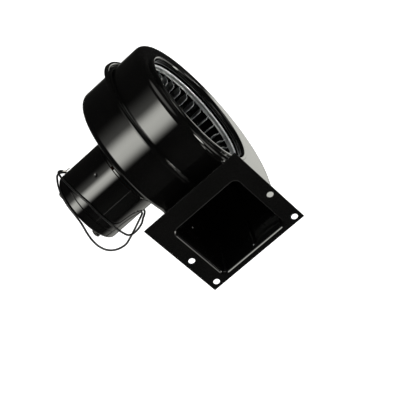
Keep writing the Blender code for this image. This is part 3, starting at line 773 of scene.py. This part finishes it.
def rounded_loop(bm, low, high, radius, x, steps):
    corners = [(high[0], high[1], 0), (low[0], high[1], 90), (low[0], low[1], 180), (high[0], low[1], 270)]
    loop = []
    for y, z, start in corners:
        centre_y = y - radius if y == high[0] else y + radius
        centre_z = z - radius if z == high[1] else z + radius
        for i in range(steps + 1):
            a = math.radians(start + 90.0 * i / steps)
            place = (x * MM, (centre_y + radius * math.cos(a)) * MM, (centre_z + radius * math.sin(a)) * MM)
            loop.append(bm.verts.new(place))
    return loop


def make_flange():
    """The plate with its four holes, and the opening's edge rolled in to the duct."""
    inset = SHEET + 0.3 + PLATE_SHEET
    low = (REAR_Y + inset, FLOOR_Z + inset)
    high = (FRONT_Y - inset, DUCT_TOP - inset)
    corner = EDGE_RADIUS - inset
    bm = bmesh.new()

    def opening(out, x):
        least, most = (low[0] - out, low[1] - out), (high[0] + out, high[1] + out)
        return rounded_loop(bm, least, most, corner + out, x, 12)

    loops = [opening(LIP_ROLL + 0.8, 0.0)]
    for i in range(10):
        a = math.radians(90.0 - 90.0 * i / 9)
        loops.append(opening(LIP_ROLL * (1 - math.cos(a)), -LIP_ROLL * (1 - math.sin(a))))
    loops.append(opening(0.0, -LIP_DEPTH))
    skin(bm, loops)
    half = (PLATE_WIDTH / 2, PLATE_HEIGHT / 2)
    plate = rounded_loop(bm, (-half[0], -half[1]), half, 0.6, 0.0, 3)
    edges = loop_edges(bm, plate) + loop_edges(bm, loops[0])
    for side in (-1, 1):
        for z in HOLE_Z:
            ring = []
            for i in range(40):
                y, up = around(HOLE_RADIUS, 9.0 * i)
                place = (0.0, (HOLE_CENTRE_Y + side * HOLE_SPACING_Y / 2 + y) * MM, (z + up) * MM)
                ring.append(bm.verts.new(place))
            edges += loop_edges(bm, ring)
    fill_face(bm, edges, Vector((1, 0, 0)))
    flange = piece("discharge_flange_pressing", bm, "black_enamel", HOUSING, replaces=["discharge_flange"])
    sheet_metal(flange, PLATE_SHEET, 0.22)


make_flange()


def make_spot_weld(number, x, y, z, normal):
    """A small bare button left in the enamel by a spot weld, its zinc brightened a little as a painted glint.
    """
    bm = bmesh.new()
    bmesh.ops.create_uvsphere(bm, u_segments=20, v_segments=12, radius=0.85 * MM)
    bmesh.ops.scale(bm, vec=(1.0, 1.0, 0.35), verts=bm.verts)
    move(bm, facing(Vector(normal)), Vector((x, y, z)))
    piece(f"spot_weld_{number}", bm, sheared_edge_and_painted_glint, HOUSING)


make_spot_weld(1, -50.6, REAR_Y + SHEET, -7.8, (0, 1, 0))
make_spot_weld(2, -7.7, 1.0, -45.55, (0, 0, 1))

# ---------------------------------------------------------------- motor


def bolt_hole_cutters(low, high):
    """Bars for the through bolts' holes, from one y to another."""
    angles = [BOLT_ANGLE + 90 * i for i in range(4)]
    return [rod_cutter(BOLT_HOLE_RADIUS, on_axis(a, BOLT_CIRCLE, low), on_axis(a, BOLT_CIRCLE, high))
            for a in angles]


def slot_cutter(angle):
    """A rectangular cutter with rounded corners for the slot where the can meets the bracket."""
    width, depth, length = 4.4, 4.0, 4.2
    bm = bmesh.new()
    bmesh.ops.create_cube(bm, size=1.0)
    for v in bm.verts:
        v.co = Vector((v.co.x * depth, v.co.y * length, v.co.z * width)) * MM
    radial = [e for e in bm.edges if abs((e.verts[0].co - e.verts[1].co).x) > depth * MM * 0.9]
    rounding = min(width, length) * 0.2 * MM
    bmesh.ops.bevel(bm, geom=radial, offset=rounding, segments=4, profile=0.5, affect="EDGES")
    turn = Matrix.Rotation(math.radians(-angle), 3, "Y")
    move(bm, turn, on_axis(angle, MOTOR_RADIUS, BRACKET_END_Y + 0.4))
    return loose("cutter", bm)


r = MOTOR_RADIUS
face = REAR_Y - 0.3
bracket_profile = [(5.0, face), (5.0, face - 1.2), (8.3, face - 1.2), (8.3, -58.6), (12.5, -58.6),
                   (12.5, face - 1.2), (r - 3.2, face - 1.2), (r - 1.7, face - 2.0), (r - 1.2, face - 3.6),
                   (r - 1.2, BRACKET_END_Y)]
bracket_profile += arc((r - 0.45, BRACKET_END_Y + 0.55), 0.55, 270.0, 360.0, 4)
bracket_profile += arc((r - 0.45, BRACKET_END_Y + 2.0), 0.55, 0.0, 60.0, 3)
bracket_profile += [(r - 0.35, BRACKET_END_Y + 2.9)]
bracket_profile += arc((r - 3.35, face - 3.0), 3.0, 0.0, 90.0, 8)
bracket = turned("motor_front_bracket_cup", bracket_profile, "black_enamel", HOUSING,
                 ["motor_front_bracket"], 144)
cut(bracket, *bolt_hole_cutters(face - 4, face + 2), slot_cutter(43.0), slot_cutter(223.0))


def make_can():
    """The can's rolled sheet, with its lengthways seam and the locating dimples that hold the stator."""
    seam, seam_half, seam_depth = 1.5, 0.3, 0.12
    edge_radius, dimple_radius, dimple_depth, dimple_y = 0.3, 2.6, 0.6, -75.2

    def turn_from(angle, other):
        return (angle - other + 180) % 360 - 180

    near_seam = [0.0, 0.16, 0.28, 0.5]
    angles = {360.0 * i / 240 for i in range(240)}
    angles = {a for a in angles if abs(turn_from(a, seam)) > 0.8}
    angles = sorted(angles | {seam - a for a in near_seam} | {seam + a for a in near_seam})
    start, end = CAP_START_Y, BRACKET_END_Y - 0.3
    ys = [start, start + 0.1, start + 0.3] + [start + (end - start) * i / 56 for i in range(1, 56)]
    ys += [end - 0.3, end - 0.1, end]
    bm = bmesh.new()
    rings = []
    for y in ys:
        ring = []
        for a in angles:
            radius = MOTOR_RADIUS
            from_end = min(y - start, end - y)
            if from_end < edge_radius:
                rise = edge_radius - from_end
                radius -= edge_radius - math.sqrt(max(0.0, edge_radius**2 - rise**2))
            off_seam = abs(turn_from(a, seam))
            if off_seam < seam_half:
                radius -= seam_depth * (1 - off_seam / seam_half)
            for at in (52.0, 142.0, 232.0, 322.0):
                away = math.hypot(math.radians(turn_from(a, at)) * MOTOR_RADIUS, y - dimple_y)
                if away < dimple_radius:
                    radius -= dimple_depth * (0.5 + 0.5 * math.cos(math.pi * away / dimple_radius))
            ring.append(bm.verts.new(on_axis(a, radius, y) * MM))
        rings.append(ring)
    skin(bm, rings)
    bmesh.ops.recalc_face_normals(bm, faces=bm.faces)
    bm.normal_update()
    probe = bm.faces[len(bm.faces) // 2]
    centre = probe.calc_center_median()
    if probe.normal.dot(centre - Vector((AXIS_X * MM, centre.y, AXIS_Z * MM))) < 0:
        bmesh.ops.reverse_faces(bm, faces=bm.faces)
    can = piece("motor_can_sheet", bm, "black_enamel", HOUSING, replaces=["motor_can"])
    sheet_metal(can, 0.95)


make_can()
cap_top = CAP_START_Y - 0.3
end_profile = [(0.0, -123.0), (8.0, -122.9), (11.3, -122.2), (13.0, -120.6), (13.9, -119.4),
               (15.2, MOTOR_END_Y), (29.0, MOTOR_END_Y), (30.0, MOTOR_END_Y + 0.5), (33.6, MOTOR_END_Y + 0.5),
               (34.4, MOTOR_END_Y), (38.0, MOTOR_END_Y)]
end_profile += arc((r - 2.2, MOTOR_END_Y + 2.2), 2.2, 270.0, 360.0, 9)
end_profile += [(r, cap_top - 0.4), (r - 0.3, cap_top), (r - 1.2, cap_top), (r - 1.2, MOTOR_END_Y + 3.8),
                (r - 3.4, MOTOR_END_Y + 1.4), (12.5, MOTOR_END_Y + 1.4), (12.5, -104.0), (8.3, -104.0),
                (8.3, -121.5), (0.0, -121.5)]
cap = turned("motor_end_cap_cup", end_profile, "black_enamel", HOUSING, ["motor_end_cap"], 144)
cut(cap, *bolt_hole_cutters(MOTOR_END_Y - 3, MOTOR_END_Y + 6))


def make_bolt(number, centre):
    """A through bolt with rolled threads at both ends."""
    low, high = MOTOR_END_Y - 4.3, REAR_Y + 5.3
    root, crest, pitch = 1.72, 2.05, 0.7
    profile = [(0.0, low), (1.35, low), (1.75, low + 0.3)]
    y = low + 0.35
    while y < low + 8.0:
        profile += [(crest, y), (crest, y + 0.14), (root, y + 0.35), (root, y + 0.45)]
        y += pitch
    profile += [(1.9, low + 8.6), (1.9, high - 8.6)]
    y = high - 8.2
    while y < high - 0.7:
        profile += [(root, y), (crest, y + 0.21), (crest, y + 0.35), (root, y + 0.56)]
        y += pitch
    profile += [(1.7, high - 0.3), (1.35, high), (0.0, high)]
    bm = bmesh.new()
    skin(bm, turned_rings(bm, profile, 20, lambda angle, radius, y: on_axis(angle, radius, y, centre)))
    bmesh.ops.recalc_face_normals(bm, faces=bm.faces)
    name = f"through_bolt_{number}"
    piece(f"{name}_threaded", bm, blackened, HOUSING, [name])


def make_nut(name, low, centre, replaced):
    """A hexagon nut with chamfered corners and a countersunk bore."""
    half, height, bore, sink = 8.7 / 2, 3.0, 2.25, 0.45
    corner = half / math.cos(math.radians(30.0)) - 0.03
    profile = [(half + 0.02, 0.0), (corner, 0.55), (corner, height - 0.55), (half + 0.02, height),
               (bore + sink, height), (bore, height - sink), (bore, sink), (bore + sink, 0.0)]

    def place(angle, radius, level):
        flat = half / math.cos(math.radians(angle % 60.0 - 30.0))
        return on_axis(angle, min(radius, flat), low + level, centre)

    bm = bmesh.new()
    rings = turned_rings(bm, profile, 48, place)
    skin(bm, rings + rings[:1])
    bmesh.ops.recalc_face_normals(bm, faces=bm.faces)
    nut = piece(name, bm, blackened, HOUSING, [replaced])
    nut.data.set_sharp_from_angle(angle=math.radians(20))


for i in range(4):
    x, z = around(BOLT_CIRCLE, BOLT_ANGLE + 90.0 * i)
    at = (AXIS_X + x, AXIS_Z + z)
    make_bolt(i + 1, at)
    make_nut(f"end_nut_{i + 1}_hex", MOTOR_END_Y - 3.3, at, f"end_nut_{i + 1}")
    make_nut(f"housing_nut_{i + 1}_hex", REAR_Y + 1.3, at, f"housing_nut_{i + 1}")

# ---------------------------------------------------------------- wheel


def make_blades():
    """Lanced blades: curved tabs with rounded inner corners, joined to both bands at the rim."""
    radial, along = 8, 22
    corner = 5.0
    root = 2.2
    inner = WHEEL_RADIUS - BLADE_DEPTH + BLADE_TRIM
    outer = WHEEL_RADIUS - 0.45
    top_out, low_out = WHEEL_FRONT_Y - 2.4, WHEEL_REAR_Y + 1.0
    top_in, low_in = WHEEL_FRONT_Y - 7.2, WHEEL_REAR_Y + 5.6
    bm = bmesh.new()
    for blade in range(BLADE_COUNT):
        base = 360.0 * blade / BLADE_COUNT
        grid = []
        for i in range(radial + 1):
            share = i / radial
            radius = inner + (outer - inner) * share
            sweep = 4.4 * math.sin(math.radians(90.0 * share)) - 7.5 * share
            reach = max(0.0, corner - (radius - inner))
            drop = corner - math.sqrt(max(0.0, corner**2 - reach**2))
            ease = min(1.0, max(0.0, (radius - (outer - root)) / root))
            top = top_in - drop + (top_out - top_in) * ease**2
            low = low_in + drop + (low_out - low_in) * ease**2
            grid.append([bm.verts.new(on_axis(base + sweep, radius, low + (top - low) * k / along) * MM)
                         for k in range(along + 1)])
        for a, b in zip(grid, grid[1:]):
            for k in range(along):
                bm.faces.new((a[k], b[k], b[k + 1], a[k + 1]))
    blades = piece("wheel_blade_strip", bm, "galvanised_steel", ROTOR, replaces=["wheel_blades"])
    # blade edges take the brightened zinc: partly bare metal, partly a painted glint
    blades.data.materials.append(sheared_edge_and_painted_glint)
    solidify = sheet_metal(blades, 0.6, 0.12, 0.0)
    solidify.material_offset_rim = 1


make_blades()
rim = WHEEL_FRONT_Y - 1.6
w = WHEEL_RADIUS
band_profile = [(w - 1.0, rim - 4.3), (w - 0.4, rim - 4.6), (w, rim - 4.3), (w, rim - 0.2), (w - 0.2, rim),
                (w - 0.7, rim), (w - 0.75, rim - 1.0), (w - 0.75, rim - 2.8), (w - 1.2, rim - 3.5)]
# its brightened zinc is a painted highlight
turned("wheel_front_band_rolled", band_profile, rolled_band_painted_highlight, ROTOR, ["wheel_front_band"], 180, 0.15,
       "galvanised_steel")
band_low, band_high = WHEEL_REAR_Y, WHEEL_REAR_Y + 5.2
rear_profile = [(w - 0.8, band_low), (w, band_low), (w, band_high), (w - 0.8, band_high)]
turned("wheel_rear_band", rear_profile, "galvanised_steel", ROTOR, segments=180, soften=0.2)
ring_profile = arc((w - 0.65, WHEEL_FRONT_Y - 0.65), 0.65, 0.0, 90.0, 5)
ring_profile += arc((w - 1.25, WHEEL_FRONT_Y - 0.65), 0.65, 90.0, 180.0, 5)
ring_profile += [(w - 1.9, rim + 0.35), (w - 1.6, rim + 0.15), (w - 0.3, rim + 0.15), (w, rim + 0.35)]
# its brightened zinc is a painted highlight
turned("wheel_rim_bead", ring_profile, painted_highlight_rim, ROTOR, ["wheel_rim_ring"], 180, 0.0, "galvanised_steel")
plate = WHEEL_REAR_Y - 0.3
turned("wheel_back_disc", [(9.0, plate - 4.0), (24.0, plate - 4.0), (28.5, plate - 2.6), (32.0, plate - 0.9),
                           (w - 1.2, plate - 0.9), (w - 0.2, plate - 0.3), (w - 0.2, plate), (w - 1.2, plate),
                           (31.8, plate), (28.0, plate - 1.8), (23.8, plate - 3.1), (9.0, plate - 3.1)],
       "galvanised_steel", ROTOR, ["wheel_back_plate"], 144, 0.5)
hub_rear = plate - 6.0
hub = turned("wheel_hub_turned", [(4.3, hub_rear), (10.5, hub_rear), (10.5, plate - 4.3), (8.7, plate - 4.3),
                                  (8.7, plate + 12.8), (4.3, plate + 12.8)],
             "bright_steel", ROTOR, ["wheel_hub"], 96, 0.5)
screw_y = plate + 6.5
cut(hub, rod_cutter(2.45, (AXIS_X, screw_y, AXIS_Z + 3.0), (AXIS_X, screw_y, AXIS_Z + 12.0)))


def make_set_screw():
    """A socket set screw, threaded outside, with its hexagon socket facing out."""
    root, crest, pitch, socket = 1.75, 2.1, 0.6, 1.05
    profile = [(0.0, 4.4), (1.2, 4.4), (1.6, 4.9)]
    height = 4.95
    while height < 8.0:
        profile += [(root, height), (crest, height + 0.2), (crest, height + 0.3), (root, height + 0.5)]
        height += pitch
    profile += [(1.7, 8.6), (1.15, 8.6), (socket, 8.3), (socket, 6.8), (0.0, 6.5)]

    def place(angle, radius, height):
        if radius < socket + 0.01:
            radius /= max(0.866, math.cos(math.radians(angle % 60.0 - 30.0)))
        x, y = around(radius, angle)
        return Vector((AXIS_X + x, screw_y + y, AXIS_Z + height))

    bm = bmesh.new()
    skin(bm, turned_rings(bm, profile, 24, place))
    bmesh.ops.recalc_face_normals(bm, faces=bm.faces)
    piece("hub_set_screw_socket", bm, plain_screw, ROTOR, ["hub_set_screw"])


make_set_screw()
shaft_profile = [(0.0, -120.0), (3.3, -120.0), (3.97, -119.3), (3.97, 11.3), (3.3, 12.0), (0.0, 12.0)]
shaft = turned("shaft_ground", shaft_profile, "bright_steel", ROTOR, ["shaft"], 64)
flat_height, flat_size = 3.35, Vector((12.0, 50.0, 8.0))
flat_centre = Vector((AXIS_X, -8.0, AXIS_Z + flat_height + flat_size.z / 2))
flat = bmesh.new()
bmesh.ops.create_cube(flat, size=1.0)
for v in flat.verts:
    v.co = (flat_centre + v.co * flat_size) * MM
cut(shaft, loose("cutter", flat))

# ---------------------------------------------------------------- finishes of the CAD nodes that stay

for entry in frame["record"]["subparts"]:
    node = NODES[entry["node"]]
    if not node.hide_render:
        node.data.materials.clear()
        node.data.materials.append(MATERIALS[entry["material_slot"]])

# ---------------------------------------------------------------- floor and light


def make_floor():
    bm = bmesh.new()
    bmesh.ops.create_grid(bm, x_segments=1, y_segments=1, size=8.0)
    floor = loose("floor", bm)
    floor.location = (0.0, 0.0, -0.32)
    floor.visible_glossy = False
    s = Shader("floor_finish", roughness=0.9)
    s.principled.inputs["Emission Color"].default_value = (1.0, 1.0, 1.0, 1.0)
    s.principled.inputs["Emission Strength"].default_value = 0.55
    s.done(s.mixed(s.noise(3.0, 2.0), grey(0.80), grey(0.82)))
    floor.data.materials.append(s.material)


class Sky(Graph):
    """The studio: even white light, and for reflections a dark room with soft boxes."""

    def __init__(self):
        world = bpy.data.worlds.new("studio")
        scene.world = world
        world.use_nodes = True
        super().__init__(world.node_tree)
        place = self.nodes.new("ShaderNodeTexCoord").outputs["Generated"]
        split = self.nodes.new("ShaderNodeSeparateXYZ")
        self.links.new(place, split.inputs[0])
        self.x, self.y, self.z = split.outputs
        angle = self.math("MULTIPLY", self.math("ARCTAN2", self.z, self.x), 180.0 / math.pi)
        self.angle = self.math("MODULO", self.math("ADD", angle, 360.0), 360.0)

    def window(self, value, rise, fall):
        return self.math("MULTIPLY", self.steps(value, *rise), self.steps(value, fall[1], fall[0]))

    def box(self, strength, *shares):
        """A soft box: a strength where every share is 1."""
        total = strength
        for share in shares:
            total = self.math("MULTIPLY", share, total)
        return total

    def spot(self, strength, direction, inner, outer):
        """A round soft box in a direction, full inside one angle in degrees and dark outside another."""
        d = Vector(direction).normalized()
        along = [self.math("MULTIPLY", part, share) for part, share in zip((self.x, self.y, self.z), d)]
        dot = self.math("ADD", self.math("ADD", along[0], along[1]), along[2])
        dark, full = math.cos(math.radians(outer)), math.cos(math.radians(inner))
        return self.box(strength, self.steps(dot, dark, full))

    def finish(self, room, boxes):
        """Joins the room's own strength and its soft boxes for reflections, and even white for the rest."""
        total = room
        for part in boxes:
            total = self.math("ADD", total, part)
        glossy = self.add("ShaderNodeBackground", 0, {"Color": (1.0, 1.0, 0.93), "Strength": total})
        even = self.add("ShaderNodeBackground", 0, {"Color": (1.0, 1.0, 1.0), "Strength": 1.0})
        is_glossy = self.nodes.new("ShaderNodeLightPath").outputs["Is Glossy Ray"]
        mix = self.add("ShaderNodeMixShader", 0, {"Fac": is_glossy, 1: even, 2: glossy})
        self.links.new(mix, self.nodes["World Output"].inputs["Surface"])


make_floor()
sky = Sky()
key_rows = sky.window(sky.y, (-0.60, -0.42), (-0.02, 0.10))
face_rows = sky.window(sky.y, (0.04, 0.16), (0.27, 0.37))
low_rows = sky.steps(sky.y, 0.0, -0.2)
sky.finish(0.018, [
    sky.box(8.6, sky.window(sky.angle, (25.5, 47.0), (52.0, 71.0)), key_rows),
    sky.box(1.15, sky.window(sky.angle, (45.0, 58.0), (59.0, 97.0)), key_rows),
    sky.spot(1.3, (0.04, 0.78, 0.60), 10.0, 26.0),
    sky.spot(20.0, (0.32, 0.91, -0.26), 3.0, 8.0),
    sky.spot(1.5, (-0.12, 0.88, -0.42), 5.0, 16.0),
    sky.spot(3.0, (0.668, 0.567, -0.483), 5.0, 14.0),
    sky.spot(9.0, (0.42, 0.11, -0.90), 4.0, 10.0),
    sky.box(1.55, sky.window(sky.angle, (204.9, 205.9), (300.0, 330.0)), face_rows),
    sky.spot(0.03, (0.84, -0.27, -0.46), 8.0, 40.0),
    sky.box(0.86, sky.window(sky.angle, (222.0, 244.0), (266.0, 292.0)), low_rows),
    sky.box(0.20, sky.window(sky.angle, (178.0, 196.0), (225.0, 245.0)), low_rows),
])
